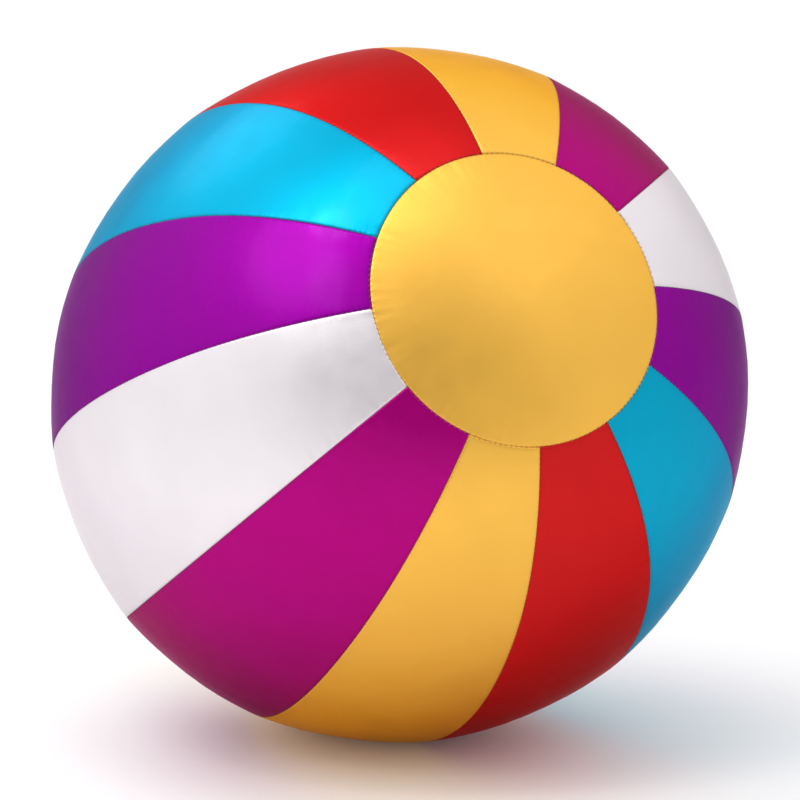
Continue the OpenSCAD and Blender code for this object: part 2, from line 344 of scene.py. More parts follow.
def grid_object(name, points, uv, seam_shade, material, wrap=False, cap=None):
    """A sheet from a grid of points, with its UV map in metres and a nearness-to-seam attribute, by which
    the fabric is darkened as painted shade.
    wrap joins the last column to the first, cap closes the first row with a point."""
    rows, columns = points.shape[:2]
    index = np.arange(rows * columns).reshape(rows, columns)
    left = index if wrap else index[:, :-1]
    right = np.roll(index, -1, 1) if wrap else index[:, 1:]
    quads = np.stack([left[:-1], right[:-1], right[1:], left[1:]], -1).reshape(-1, 4)
    faces, verts = quads.tolist(), points.reshape(-1, 3)
    spots, seam_shades = uv.reshape(-1, 2), seam_shade.reshape(-1)
    if cap is not None:
        verts = np.vstack([verts, cap[0]])
        spots, seam_shades = np.vstack([spots, cap[1]]), np.append(seam_shades, 0.0)
        faces += np.stack([np.full_like(left[0], rows * columns), right[0], left[0]], -1).tolist()
    mesh = bpy.data.meshes.new(name)
    mesh.from_pydata(verts.tolist(), [], faces)
    corners = np.zeros(len(mesh.loops), np.int32)
    mesh.loops.foreach_get("vertex_index", corners)
    layer = mesh.uv_layers.new(name="cloth")
    layer.uv.foreach_set("vector", spots[corners].astype(np.float32).ravel())
    seam = mesh.attributes.new("seam", "FLOAT", "POINT")
    seam.data.foreach_set("value", seam_shades.astype(np.float32))
    smooth(mesh)
    return new_object(name, mesh, material)


def face_out(obj, centre):
    """Turns every face of a sheet away from a point inside."""
    mesh = obj.data
    face = mesh.polygons[len(mesh.polygons) // 2]
    if face.normal.dot(face.center - centre) < 0:
        mesh.flip_normals()


def thicken(obj, thickness):
    """Gives a sheet its thickness, inwards."""
    solid = obj.modifiers.new("Thickness", "SOLIDIFY")
    solid.thickness = thickness
    solid.offset = -1
    solid.use_quality_normals = False


def lathe(name, profile, matrix, material, segments=72, hard=35):
    """A closed profile of (radius, height) turned round the axis of a frame."""
    turn = np.linspace(0, 2 * math.pi, segments, endpoint=False)
    radius = np.array([p[0] for p in profile])[:, None]
    high = np.array([p[1] for p in profile])[:, None] + 0 * turn
    points = np.stack([radius * np.cos(turn), radius * np.sin(turn), high], -1)
    count = len(profile)
    index = np.arange(count * segments).reshape(count, segments)
    nxt = np.roll(index, -1, 0)
    faces = np.stack([index, np.roll(index, -1, 1), np.roll(nxt, -1, 1), nxt], -1).reshape(-1, 4)
    mesh = bpy.data.meshes.new(name)
    mesh.from_pydata(placed(points, matrix).reshape(-1, 3).tolist(), [], faces.tolist())
    with editing(mesh) as shape:
        bmesh.ops.remove_doubles(shape, verts=shape.verts, dist=1e-6)
        bmesh.ops.recalc_face_normals(shape, faces=shape.faces)
        for edge in shape.edges:
            edge.smooth = len(edge.link_faces) < 2 or edge.calc_face_angle(0) < math.radians(hard)
    smooth(mesh)
    return new_object(name, mesh, material)


def rounded(corners, radius, steps=4):
    """A closed profile with its corners rounded."""
    out, count = [], len(corners)
    for i in range(count):
        before, here, after = (Vector(corners[j % count]) for j in (i - 1, i, i + 1))
        to_before, to_after = before - here, after - here
        cut = min(radius, 0.45 * to_before.length, 0.45 * to_after.length)
        if here.x < 1e-7 or cut < 1e-6:
            out.append(tuple(here))
            continue
        start, end = here + to_before.normalized() * cut, here + to_after.normalized() * cut
        for k in range(steps + 1):
            t = k / steps
            out.append(tuple(start.lerp(here, t).lerp(here.lerp(end, t), t)))
    return out


def rounded_copy(node, name, material, width):
    """A CAD node's own shape with its sharp edges rounded."""
    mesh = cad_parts[node].data.copy()
    with editing(mesh) as shape:
        bmesh.ops.remove_doubles(shape, verts=shape.verts, dist=2e-6)
        bmesh.ops.dissolve_limit(shape, angle_limit=math.radians(1), verts=shape.verts,
                                 edges=shape.edges)
    mesh.name = name
    obj = new_object(name, mesh, material)
    bevel = obj.modifiers.new("Edges", "BEVEL")
    bevel.width, bevel.segments = width, 2
    bevel.limit_method, bevel.angle_limit = "ANGLE", math.radians(40)
    bevel.harden_normals = False
    smooth(mesh)
    return obj


# ---------------------------------------------------------------- node tools

def add_node(tree, kind, inputs=None, **settings):
    """A node with its settings and inputs; an input is a value or another node's socket."""
    made = tree.nodes.new(kind)
    for name, value in settings.items():
        setattr(made, name, value)
    for key, value in (inputs or {}).items():
        if isinstance(value, bpy.types.NodeSocket):
            tree.links.new(value, made.inputs[key])
        else:
            made.inputs[key].default_value = value
    return made


def new_material(name):
    """An empty material and its node tree."""
    material = bpy.data.materials.new(name)
    material.use_nodes = True
    material.node_tree.nodes.clear()
    return material, material.node_tree


def surface(tree, inputs):
    """The material's Principled shader, with values and links as add_node takes them."""
    shader = add_node(tree, "ShaderNodeBsdfPrincipled", inputs)
    add_node(tree, "ShaderNodeOutputMaterial", {"Surface": shader.outputs[0]})


def texture(tree, kind, place, scale, detail, **settings):
    """A noise or wave texture over a place, with its detail or its distortion."""
    known = {"Noise": "Detail", "Wave": "Distortion"}
    return add_node(tree, "ShaderNodeTex" + kind, {"Vector": place, "Scale": scale, known[kind]: detail},
                    **settings).outputs["Fac"]


def shaded(tree, base, factor, low, high):
    """A colour made darker and lighter by a 0 to 1 factor."""
    mix = add_node(tree, "ShaderNodeMix", {0: factor, 6: (*[c * low for c in base], 1),
                                           7: (*[min(1, c * high) for c in base], 1)}, data_type="RGBA")
    return mix.outputs[2]


def spread(tree, value, from_low, from_high, low, high):
    """A value taken from one range to another."""
    return add_node(tree, "ShaderNodeMapRange", {0: value, 1: from_low, 2: from_high, 3: low,
                                                 4: high}).outputs[0]


def bump(tree, height, distance, strength, below=None):
    """A bump, laid over another one."""
    inputs = {"Height": height, "Distance": distance, "Strength": strength}
    if below is not None:
        inputs["Normal"] = below
    return add_node(tree, "ShaderNodeBump", inputs).outputs[0]


def bands(tree, place, scale, distortion, direction):
    """Parallel bands of light and dark."""
    return texture(tree, "Wave", place, scale, distortion, wave_type="BANDS", bands_direction=direction)


def woven(tree, first, second):
    """Two sets of bands crossed into a weave."""
    return add_node(tree, "ShaderNodeMath", {0: first, 1: second}, operation="MULTIPLY").outputs[0]


def coated_fabric(name, base):
    """Woven polyester under a metallic film: a tinted, satin shine over a crinkled cloth, duller and
    darker beside each seam as painted shade of the seam's fold. The weave is about 0.8 mm, coarser than a
    real one, so that it shows."""
    material, tree = new_material(name)
    cloth = add_node(tree, "ShaderNodeUVMap", uv_map="cloth").outputs[0]
    seam = add_node(tree, "ShaderNodeAttribute", attribute_name="seam").outputs["Fac"]
    place = add_node(tree, "ShaderNodeTexCoord").outputs["Object"]
    tone = shaded(tree, base, texture(tree, "Noise", place, 14.0, 2.0), 0.94, 1.05)
    # painted shade: near each seam the colour is mixed towards 0.6 of itself, for the shade in the seam's
    # fold
    edge = add_node(tree, "ShaderNodeMix", {0: spread(tree, seam, 0.0, 1.0, 0.0, 0.45), 6: tone,
                                            7: (*[c * 0.6 for c in base], 1)}, data_type="RGBA")
    weave = woven(tree, bands(tree, cloth, 380.0, 0.4, "X"), bands(tree, cloth, 380.0, 0.4, "Y"))
    crinkle = add_node(tree, "ShaderNodeTexNoise", {"Vector": place, "Scale": 105.0, "Detail": 3.0,
                                                    "Roughness": 0.55})
    normal = bump(tree, crinkle.outputs[0], 0.00012, 0.5)
    normal = bump(tree, texture(tree, "Noise", place, 620.0, 2.0), 0.00012, 0.5, normal)
    surface(tree, {
        "Base Color": edge.outputs[2], "Metallic": 1.0,
        "Roughness": spread(tree, texture(tree, "Noise", place, 45.0, 2.0), 0.3, 0.7, 0.37, 0.44),
        "Normal": bump(tree, weave, 0.00004, 0.4, normal),
        "Specular Tint": (*[0.1 + 0.9 * c for c in base], 1),
        "Coat Weight": 0.1, "Coat Roughness": 0.15})
    return material


def sewing_thread(name, base):
    """Twisted polyester thread: matt, with fine diagonal plies and a little sheen."""
    material, tree = new_material(name)
    place = add_node(tree, "ShaderNodeTexCoord").outputs["Object"]
    plies = bands(tree, place, 900.0, 1.5, "DIAGONAL")
    surface(tree, {"Base Color": shaded(tree, base, plies, 0.7, 1.15), "Roughness": 0.6,
                   "Normal": bump(tree, plies, 0.0001, 0.6), "Sheen Weight": 0.3})
    return material


def woven_tape(name, base):
    """Herringbone polyester tape of a zip: matt, with ribs that show as fine stripes."""
    material, tree = new_material(name)
    cloth = add_node(tree, "ShaderNodeUVMap", uv_map="cloth").outputs[0]
    weave = woven(tree, bands(tree, cloth, 420.0, 0.3, "X"), bands(tree, cloth, 260.0, 0.6, "DIAGONAL"))
    surface(tree, {"Base Color": shaded(tree, base, weave, 0.78, 1.04), "Roughness": 0.75,
                   "Normal": bump(tree, weave, 0.00012, 0.7), "Sheen Weight": 0.25})
    return material


def moulded_nylon(name, base):
    """Moulded nylon of the zip's teeth: a waxy, faintly streaked gloss."""
    material, tree = new_material(name)
    place = add_node(tree, "ShaderNodeTexCoord").outputs["Object"]
    streak = texture(tree, "Noise", place, 500.0, 2.0)
    surface(tree, {"Base Color": shaded(tree, base, streak, 0.9, 1.03),
                   "Roughness": spread(tree, streak, 0.3, 0.7, 0.32, 0.45),
                   "Normal": bump(tree, streak, 0.00005, 0.4),
                   "Subsurface Weight": 0.1, "Subsurface Radius": (0.001, 0.001, 0.001)})
    return material


def cast_zinc(name, base):
    """Nickel-plated cast zinc: bright metal with fine scratches and worn spots."""
    material, tree = new_material(name)
    place = add_node(tree, "ShaderNodeTexCoord").outputs["Object"]
    scratch = add_node(tree, "ShaderNodeMapping", {"Vector": place, "Rotation": (0.4, 0.2, 0.7),
                                                   "Scale": (40.0, 900.0, 300.0)})
    lines = texture(tree, "Noise", scratch.outputs[0], 3.0, 3.0)
    spots = texture(tree, "Noise", place, 260.0, 3.0)
    surface(tree, {"Base Color": shaded(tree, base, spots, 0.85, 1.05), "Metallic": 1.0,
                   "Roughness": spread(tree, lines, 0.3, 0.7, 0.2, 0.38),
                   "Normal": bump(tree, lines, 0.00004, 0.35)})
    return material


def soft_vinyl(name, base, clear):
    """Soft PVC: slightly cloudy, part see-through, with a soft gloss under fine dust."""
    material, tree = new_material(name)
    place = add_node(tree, "ShaderNodeTexCoord").outputs["Object"]
    cloud = texture(tree, "Noise", place, 90.0, 3.0)
    dust = texture(tree, "Noise", place, 1400.0, 1.0)
    surface(tree, {"Base Color": shaded(tree, base, cloud, 0.9, 1.03), "IOR": 1.53,
                   "Roughness": spread(tree, dust, 0.35, 0.7, 0.24, 0.31),
                   "Normal": bump(tree, cloud, 0.0001, 0.2), "Transmission Weight": clear,
                   "Coat Weight": 0.2, "Coat Roughness": 0.2})
    return material


_materials = {}


def finish_for(name):
    """The finish for a colour's name, made once."""
    if name not in _materials:
        base = tuple(getattr(bpy.context.scene.ball_colours, name))
        makers = {
            "thread": lambda: sewing_thread("polyester thread", base),
            "tape": lambda: woven_tape("woven zip tape", base),
            "teeth": lambda: moulded_nylon("nylon zip teeth", base),
            "metal": lambda: cast_zinc("plated zinc", base),
            "film": lambda: soft_vinyl("bladder film", base, 0.25),
            "vinyl": lambda: soft_vinyl("soft vinyl", base, 0.1),
        }
        make = makers.get(name) or (lambda: coated_fabric(name + " metallic fabric", base))
        _materials[name] = make()
    return _materials[name]


# ---------------------------------------------------------------- repeating pieces

def repeat_tree(name, shape):
    """A geometry tree that sets one small shape at even steps along every line it is given, standing
    away from the ball's middle. Ends realized, with its material set."""
    tree = bpy.data.node_groups.new(name, "GeometryNodeTree")
    face = tree.interface
    face.new_socket("Geometry", in_out="INPUT", socket_type="NodeSocketGeometry")
    for socket in ("Pitch", "Along", "Across", "High", "Lift", "Unevenness"):
        face.new_socket(socket, in_out="INPUT", socket_type="NodeSocketFloat")
    face.new_socket("Middle", in_out="INPUT", socket_type="NodeSocketVector")
    face.new_socket("Seed", in_out="INPUT", socket_type="NodeSocketInt")
    face.new_socket("Material", in_out="INPUT", socket_type="NodeSocketMaterial")
    face.new_socket("Geometry", in_out="OUTPUT", socket_type="NodeSocketGeometry")
    given = add_node(tree, "NodeGroupInput").outputs
    line = add_node(tree, "GeometryNodeMeshToCurve", {"Mesh": given["Geometry"]})
    steps = add_node(tree, "GeometryNodeResampleCurve", {"Curve": line.outputs[0],
                                                         "Length": given["Pitch"]}, mode="LENGTH")
    if shape == "stitch":
        one = add_node(tree, "GeometryNodeMeshUVSphere", {"Segments": 6, "Rings": 5, "Radius": 0.5})
        piece = one.outputs["Mesh"]
    else:
        one = add_node(tree, "GeometryNodeMeshCube", {"Size": (1.0, 1.0, 1.0)})
        soft = add_node(tree, "GeometryNodeSubdivisionSurface", {"Mesh": one.outputs["Mesh"], "Level": 1,
                                                                 "Edge Crease": 0.75})
        piece = soft.outputs[0]
    where = add_node(tree, "GeometryNodeInputPosition").outputs[0]
    out = add_node(tree, "ShaderNodeVectorMath", {0: where, 1: given["Middle"]}, operation="SUBTRACT")
    stand = add_node(tree, "FunctionNodeAlignRotationToVector", {"Vector": out.outputs[0]}, axis="Z")
    ahead = add_node(tree, "GeometryNodeInputTangent").outputs[0]
    turned = add_node(tree, "FunctionNodeAlignRotationToVector",
                      {"Rotation": stand.outputs[0], "Vector": ahead}, axis="X", pivot_axis="Z")
    size = add_node(tree, "ShaderNodeCombineXYZ", {"X": given["Along"], "Y": given["Across"],
                                                   "Z": given["High"]})
    low = add_node(tree, "ShaderNodeMath", {0: 1.0, 1: given["Unevenness"]}, operation="SUBTRACT")
    high = add_node(tree, "ShaderNodeMath", {0: 1.0, 1: given["Unevenness"]}, operation="ADD")
    vary = add_node(tree, "FunctionNodeRandomValue", {"Seed": given["Seed"]}, data_type="FLOAT")
    tree.links.new(low.outputs[0], vary.inputs[2])
    tree.links.new(high.outputs[0], vary.inputs[3])
    scaled = add_node(tree, "ShaderNodeVectorMath", {0: size.outputs[0], "Scale": vary.outputs[1]},
                      operation="SCALE")
    many = add_node(tree, "GeometryNodeInstanceOnPoints",
                    {"Points": steps.outputs[0], "Instance": piece, "Rotation": turned.outputs[0],
                     "Scale": scaled.outputs[0]})
    lift = add_node(tree, "ShaderNodeCombineXYZ", {"Z": given["Lift"]})
    raised = add_node(tree, "GeometryNodeTranslateInstances",
                      {"Instances": many.outputs[0], "Translation": lift.outputs[0]})
    real = add_node(tree, "GeometryNodeRealizeInstances", {"Geometry": raised.outputs[0]})
    even = add_node(tree, "GeometryNodeSetShadeSmooth", {"Geometry": real.outputs[0]})
    done = add_node(tree, "GeometryNodeSetMaterial", {"Geometry": even.outputs[0],
                                                      "Material": given["Material"]})
    add_node(tree, "NodeGroupOutput", {"Geometry": done.outputs[0]})
    return tree


def repeat_along(name, lines, shape, material, **inputs):
    """A mesh of small shapes along lines; a line is (points, closed)."""
    verts, edges = [], []
    for points, closed in lines:
        start, count = len(verts), len(points)
        verts += [tuple(p) for p in points]
        edges += [(start + i, start + i + 1) for i in range(count - 1)]
        if closed:
            edges.append((start + count - 1, start))
    guide = bpy.data.meshes.new(name + "_lines")
    guide.from_pydata(verts, edges, [])
    obj = bpy.data.objects.new(name, guide)
    tree = bpy.data.node_groups.get("Repeat " + shape) or repeat_tree("Repeat " + shape, shape)
    modifier = obj.modifiers.new("Repeat", "NODES")
    modifier.node_group = tree
    known = {s.name: s.identifier for s in tree.interface.items_tree if s.in_out == "INPUT"}
    values = {"Middle": (0.0, 0.0, CENTRE_Z), "Seed": bpy.context.scene.ball_sizes.seed,
              "Material": material, **inputs}
    for key, value in values.items():
        modifier[known[key]] = value
    bpy.context.scene.collection.objects.link(obj)
    graph = bpy.context.evaluated_depsgraph_get()
    mesh = bpy.data.meshes.new_from_object(obj.evaluated_get(graph))
    obj.modifiers.clear()
    obj.data = mesh
    mesh.name = name
    bpy.data.meshes.remove(guide)
    if not len(mesh.polygons):
        raise RuntimeError(name + ": no shapes were made")
    return obj


# ---------------------------------------------------------------- operators

class BALL_OT_gores(bpy.types.Operator):
    """Sews the twelve long panels of the cover"""
    bl_idname = "ball.gores"
    bl_label = "Long panels"

    def execute(self, context):
        sizes = context.scene.ball_sizes
        for i, (node, tint) in enumerate(GORES):
            obj = self.panel(sizes, i, node, finish_for(tint))
            stand_in(obj, node, "cover")
        return {"FINISHED"}

    def half_area(self, degrees):
        """Area of half a panel, from the equator to its disc."""
        s = np.linspace(0, SEAM_LEN, 200)
        return float(np.trapz(meridian(s)[0], s)) * math.radians(degrees)

    def panel(self, sizes, i, node, material):
        """One panel: turned edges, stitch dents, puckers and broad waves."""
        lon_left, lon_right = seam_lon(i + 1), seam_lon(i)
        pitch = seam_pitch(2 * SEAM_LEN, sizes)
        r = sizes.fold
        fine = np.array([0.0, 0.06, 0.22, 0.45, 0.72, 1.0]) * r
        steps = np.arange(pitch / 4, SEAM_LEN + 1e-9, pitch / 4)
        middle = np.concatenate([-steps[::-1], [0.0], steps])
        middle = middle[np.abs(middle) < SEAM_LEN - 1.3 * r]
        s = np.concatenate([[-SEAM_LEN + 0.1 * r], -SEAM_LEN + fine, middle,
                            (SEAM_LEN - fine)[::-1], [SEAM_LEN - 0.1 * r]])
        end = SEAM_LEN - np.abs(s)
        tucked_end = np.zeros(len(s), bool)
        tucked_end[[0, -1]] = True
        rho = meridian(s)[0]
        half = 0.5 * (lon_right - lon_left) * rho

        beside = np.concatenate([fine, np.array([2.2, 3.4, 5.2, 8.0, 12.0]) * MM])
        inner = np.array([0.2, 0.42, 0.7, 1.0])
        columns = len(beside) + len(inner)
        from_seam = np.zeros((len(s), columns))
        from_seam[:, :len(beside)] = beside
        from_seam[:, len(beside):] = beside[-1] + (half[:, None] - beside[-1]) * inner
        slot = self.zip_slot(s)
        left_open = slot if i + 1 == ZIP_SEAM else 0 * s
        right_open = slot if i == ZIP_SEAM else 0 * s

        def offsets(opening):
            shrink = np.clip(1 - from_seam / 0.012, 0, 1)
            return from_seam + opening[:, None] * shrink

        left, right = offsets(left_open), offsets(right_open)
        tuck = 0.1 * r
        d_left = np.concatenate([left[:, :1] + tuck, left], 1)
        d_right = np.concatenate([right[:, :1] + tuck, right], 1)
        lon_a = lon_left + d_left / rho[:, None]
        lon_b = lon_right - d_right[:, :-1] / rho[:, None]
        lon = np.concatenate([lon_a, lon_b[:, ::-1]], 1)
        total = lon.shape[1]
        near_left = np.arange(total)[None, :] <= columns

        across_left = (lon - lon_left) * rho[:, None]
        across_right = (lon_right - lon) * rho[:, None]
        d = np.where(near_left, across_left - left_open[:, None], across_right - right_open[:, None])
        d = np.maximum(d, 0)
        along = s[:, None] + 0 * lon
        dist_end = end[:, None] + 0 * lon

        depth = np.sqrt(fold(d, r) ** 2 + fold(dist_end, r) ** 2)
        depth = np.minimum(depth, 1.25 * r)
        tucked = np.zeros_like(lon, bool)
        tucked[:, [0, -1]] = True
        tucked |= tucked_end[:, None]
        depth = np.where(tucked, sizes.turn_in, depth)

        beat = 0.5 + 0.5 * np.cos(2 * math.pi * (along + SEAM_LEN) / pitch)
        zipped = np.where(near_left, left_open[:, None], right_open[:, None]) > 0
        dent = stitch_dent(d, beat, sizes) * ~zipped
        dent += stitch_dent(dist_end, 0.5 + 0.5 * np.cos(lon * disc_stitches(sizes)), sizes)

        seam = np.where(near_left, i + 1, i)
        pucker = np.zeros_like(lon)
        for line in (i, i + 1):
            mine = ripple(along, 100 * sizes.seed + line % 12)
            pucker += np.where(seam == line, mine, 0)
        pucker *= sizes.pucker * np.exp(-d / (8 * MM)) * (1 - np.exp(-d / (0.8 * MM)))
        spread_out = np.exp(-dist_end / (13 * MM)) * (1 - np.exp(-dist_end / (0.8 * MM)))
        pucker += sizes.disc_pucker * spread_out * np.where(
            along > 0, disc_ripple(lon, 1, sizes.seed), disc_ripple(lon, -1, sizes.seed))

        wave = broad_waves(on_ball(lon, along, 0 * lon), d, sizes)
        off = lon - 0.5 * (lon_left + lon_right)
        width = 0.5 * (lon_right - lon_left)
        chord = sizes.roundness + (1 - sizes.roundness) * math.cos(width) / np.cos(off)
        points = on_ball(lon, along, wave + pucker - dent - depth, chord)
        uv = np.stack([off * rho[:, None], along], -1)
        # the nearness to a seam darkens the fabric's colour there: painted shade of the seam's fold
        seam_shade = np.exp(-np.minimum(d, dist_end) / (1.1 * MM))
        obj = grid_object(node + "_panel", points, uv, seam_shade, material)
        face_out(obj, Vector((0, 0, CENTRE_Z)))
        thicken(obj, FABRIC_T)
        return obj

    def zip_slot(self, s):
        """How far the fabric beside the zip stands back from the seam."""
        rear, front = ZIP_REAR * BELLY_R, ZIP_FRONT * BELLY_R
        ease = 2.5 * MM
        start = np.clip((s - rear) / ease + 1, 0, 1)
        stop = np.clip((front - s) / ease + 1, 0, 1)
        open_share = np.minimum(start, stop)
        return ZIP_SLOT * open_share ** 2 * (3 - 2 * open_share)


class BALL_OT_discs(bpy.types.Operator):
    """Sews the two end discs and the patch round the valve"""
    bl_idname = "ball.discs"
    bl_label = "End discs"

    def execute(self, context):
        sizes = context.scene.ball_sizes
        gold = finish_for("gold")
        for node, side, hole in (("front_disc", 1, 0.0), ("rear_disc", -1, HOLE_R)):
            obj = self.disc(sizes, node, side, hole, gold)
            stand_in(obj, node, "cover")
        patch = self.patch(sizes, gold)
        stand_in(patch, "valve_patch", "cover")
        return {"FINISHED"}

    def disc(self, sizes, node, side, hole, material):
        """One disc, in rings that close up towards its seam."""
        r = sizes.fold
        fine = np.array([0.0, 0.06, 0.22, 0.45, 0.72, 1.0]) * r
        coarse = np.array([2.0, 2.9, 4.0, 5.5, 7.5, 10, 13, 17, 22, 28, 35, 43, 52, 62, 73, 84, 93]) * MM
        inner = np.array([6.0, 3.5, 1.6, 0.6, 0.0] if hole else [16.0, 9.0, 4.0]) * MM
        inner = DISC_LEN - DOME_R * math.asin(hole / DOME_R) - inner
        d = np.concatenate([[0.1 * r], fine, coarse, inner])
        depth = np.concatenate([[sizes.turn_in], fold(fine, r), 0 * coarse, 0 * inner])
        stitches = disc_stitches(sizes)
        lon = np.linspace(0, 2 * math.pi, 4 * stitches, endpoint=False)
        d, lon = np.meshgrid(d, lon, indexing="ij")
        along = side * (SEAM_LEN + d)
        dent = stitch_dent(d, 0.5 + 0.5 * np.cos(lon * stitches), sizes)
        pucker = sizes.disc_pucker * disc_ripple(lon, side, sizes.seed)
        pucker *= np.exp(-d / (11 * MM)) * (1 - np.exp(-d / (0.8 * MM)))
        wave = broad_waves(on_ball(lon, along, 0 * lon), d, sizes)
        if hole:
            wave *= np.clip((DISC_LEN - d - PATCH_R) / 0.02, 0, 1)
        points = on_ball(lon, along, wave + pucker - dent - depth[:, None])
        radius = DISC_LEN - d
        uv = np.stack([radius * np.cos(lon), radius * np.sin(lon)], -1)
        # the nearness to the seam darkens the disc's colour there: painted shade of the seam's fold
        seam_shade = np.exp(-d / (1.1 * MM))
        order = slice(None, None, -1)
        cap = None
        if not hole:
            tip = on_ball(np.zeros(1), np.array([side * (SEAM_LEN + DISC_LEN)]), np.zeros(1))
            cap = (tip, np.zeros((1, 2)))
        obj = grid_object(node + "_panel", points[order], uv[order], seam_shade[order], material, wrap=True,
                          cap=cap)
        with editing(obj.data) as shape:
            bmesh.ops.recalc_face_normals(shape, faces=shape.faces)
        face_out(obj, Vector((0, 0, CENTRE_Z)))
        thicken(obj, FABRIC_T)
        return obj

    def patch(self, sizes, material):
        """The ring round the valve's hole, with soft raised edges."""
        distance = np.array([13.0, 13.1, 13.4, 14.0, 15.0, 17, 19.5, 22, 24, 25, 25.6, 25.9, 26.0]) * MM
        edge = np.minimum(distance - HOLE_R, PATCH_R - distance)
        lon = np.linspace(0, 2 * math.pi, 240, endpoint=False)
        distance, lon = np.meshgrid(distance, lon, indexing="ij")
        edge = edge[:, None] + 0 * lon
        side = -(SEAM_LEN + DISC_LEN - DOME_R * np.arcsin(distance / DOME_R))
        stitch = np.minimum(*(np.abs(distance - radius) for radius in PATCH_SEAMS))
        dent = 0.18 * MM * np.exp(-(stitch / (0.8 * MM)) ** 2)
        lift = 0.53 * MM - 0.3 * MM * np.exp(-edge / (0.15 * MM)) - dent
        points = on_ball(lon, side, lift)
        uv = np.stack([distance * np.cos(lon), distance * np.sin(lon)], -1)
        # nearness to the ring's raised edges darkens its colour there: painted shade beside the step
        seam_shade = 0.6 * np.exp(-edge / (0.5 * MM))
        obj = grid_object("valve_patch_ring", points, uv, seam_shade, material, wrap=True)
        face_out(obj, Vector((0, 0, CENTRE_Z)))
        thicken(obj, 0.45 * MM)
        return obj


class BALL_OT_stitching(bpy.types.Operator):
    """Puts the stitches into every seam of the cover"""
    bl_idname = "ball.stitching"
    bl_label = "Stitching"

    def execute(self, context):
        sizes = context.scene.ball_sizes
        thread = finish_for("thread")
        t = sizes.thread
        across = {"Along": t, "Across": 2.1 * sizes.fold, "High": t, "Lift": -0.36 * sizes.fold,
                  "Unevenness": 0.08}
        pitch = 0.9995 * seam_pitch(2 * SEAM_LEN, sizes)
        seams = []
        for i in range(len(GORES)):
            pieces = [(-SEAM_LEN, SEAM_LEN)]
            if i == ZIP_SEAM:
                pieces = [(-SEAM_LEN, BELLY_R * ZIP_REAR - 3 * MM),
                          (BELLY_R * ZIP_FRONT + 3 * MM, SEAM_LEN)]
            for a, b in pieces:
                s = np.linspace(a + 1.5 * MM, b - 1.5 * MM, 400)
                seams.append((on_ball(0 * s + seam_lon(i), s, 0 * s), False))
        self.put("gore_stitching", repeat_along("gore_stitches", seams, "stitch", thread,
                                                Pitch=pitch, **across))
        for node, side in (("front_disc_stitching", 1), ("rear_disc_stitching", -1)):
            count = disc_stitches(sizes)
            lon = np.linspace(0, 2 * math.pi, 4 * count, endpoint=False)
            ring = on_ball(lon, 0 * lon + side * SEAM_LEN, 0 * lon)
            self.put(node, repeat_along(node[:-3] + "es", [(ring, True)], "stitch", thread,
                                        Pitch=0.9995 * 2 * math.pi * DISC_R / count, **across))
        running = {"Along": 3.1 * MM, "Across": t, "High": t, "Lift": 0.0, "Unevenness": 0.05}
        lines = []
        s = np.linspace(BELLY_R * ZIP_REAR, BELLY_R * ZIP_FRONT, 160)
        for side in (-1, 1):
            lon = seam_lon(ZIP_SEAM) + side * ZIP_SEAM_OUT / meridian(s)[0]
            lines.append((on_ball(lon, s, 0 * s + 0.28 * MM), False))
        self.put("zip_stitching", repeat_along("zip_stitches", lines, "stitch", thread,
                                               Pitch=sizes.stitch_pitch, **running))
        rings = []
        for radius in PATCH_SEAMS:
            lon = np.linspace(0, 2 * math.pi, 120, endpoint=False)
            s = -(SEAM_LEN + DISC_LEN - DOME_R * math.asin(radius / DOME_R)) + 0 * lon
            rings.append((on_ball(lon, s, 0 * s + 0.45 * MM), True))
        running["Along"] = 2.3 * MM
        self.put("patch_stitching", repeat_along("patch_stitches", rings, "stitch", thread,
                                                 Pitch=3.1 * MM, **running))
        return {"FINISHED"}

    def put(self, node, obj):
        """Stands the stitches in for their CAD strip."""
        stand_in(obj, node, "cover")


